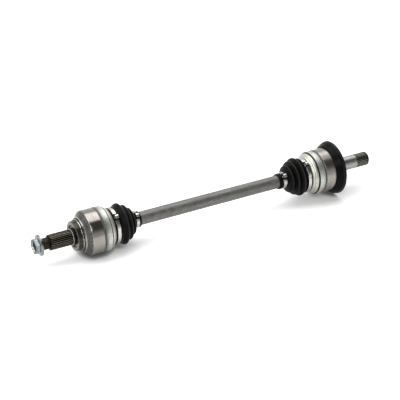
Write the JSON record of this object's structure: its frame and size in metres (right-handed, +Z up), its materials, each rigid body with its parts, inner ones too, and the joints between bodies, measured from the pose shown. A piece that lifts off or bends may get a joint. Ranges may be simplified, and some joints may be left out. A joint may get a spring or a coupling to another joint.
{
  "type": "cv axle",
  "caption": "Rear drive axle: a solid bar between a fixed ball joint with a splined wheel stub and a plunging ball joint with a splined differential stub.",
  "frame": {"origin": "centre of the hub shoulder face, where the wheel spline meets the wheel-side bell", "axes": "+X along the axle from the wheel stub to the differential stub, +Z up, Y to the side"},
  "size_m": [0.7855, 0.1164, 0.1164],
  "materials": {
    "bar": "dark rolled steel, fine drawn grain along the bar",
    "machined_steel": "turned and ground, satin, with fine rings round the axis",
    "bearing_steel": "ground, bright, lightly oiled",
    "zinc_plate": "bluish zinc plate, bright satin",
    "clamp_steel": "stainless strip, bright satin",
    "boot_rubber": "moulded black rubber, satin",
    "seal_rubber": "dark grey sealing bead",
    "black_coat": "black coated steel, satin"
  },
  "bodies": {
    "shaft": {"axle_shaft": "bar", "wheel_inner_race": "bearing_steel", "diff_inner_race": "bearing_steel", "wheel_shaft_circlip": "bearing_steel", "diff_shaft_circlip": "bearing_steel", "wheel_small_clamp": "clamp_steel", "diff_small_clamp": "clamp_steel"},
    "wheel_cage_body": {"wheel_cage": "bearing_steel", "wheel_ball_1": "bearing_steel", "wheel_ball_2": "bearing_steel", "wheel_ball_3": "bearing_steel", "wheel_ball_4": "bearing_steel", "wheel_ball_5": "bearing_steel", "wheel_ball_6": "bearing_steel"},
    "wheel_side": {"wheel_bell": "machined_steel", "wheel_bell_seal": "seal_rubber", "wheel_boot_cap": "zinc_plate", "wheel_boot": "boot_rubber", "wheel_large_clamp": "clamp_steel", "axle_nut": "zinc_plate"},
    "diff_cage_body": {"diff_cage": "bearing_steel", "diff_ball_1": "bearing_steel", "diff_ball_2": "bearing_steel", "diff_ball_3": "bearing_steel", "diff_ball_4": "bearing_steel", "diff_ball_5": "bearing_steel", "diff_ball_6": "bearing_steel"},
    "diff_boot_body": {"diff_boot": "boot_rubber"},
    "diff_side": {"diff_bell": "machined_steel", "diff_bell_seal": "seal_rubber", "diff_boot_cap": "zinc_plate", "diff_large_clamp": "clamp_steel", "dust_shield": "black_coat", "stub_circlip": "bearing_steel"}
  },
  "joints": [
    {"name": "wheel_joint_pitch", "type": "hinge", "parent": "shaft", "child": "wheel_cage_body", "pos_m": [0.046, 0, 0], "axis": [0, 1, 0], "range_deg": [-15, 15], "deforming": ["wheel_boot"]},
    {"name": "wheel_joint_yaw", "type": "hinge", "parent": "wheel_cage_body", "child": "wheel_side", "pos_m": [0.046, 0, 0], "axis": [0, 0, 1], "range_deg": [-15, 15]},
    {"name": "diff_joint_pitch", "type": "hinge", "parent": "shaft", "child": "diff_cage_body", "pos_m": [0.577, 0, 0], "axis": [0, 1, 0], "range_deg": [-10, 10]},
    {"name": "diff_joint_yaw", "type": "hinge", "parent": "diff_cage_body", "child": "diff_boot_body", "pos_m": [0.577, 0, 0], "axis": [0, 0, 1], "range_deg": [-10, 10]},
    {"name": "diff_joint_plunge", "type": "slide", "parent": "diff_boot_body", "child": "diff_side", "axis": [1, 0, 0], "range_m": [-0.008, 0.008], "deforming": ["diff_boot"]}
  ]
}
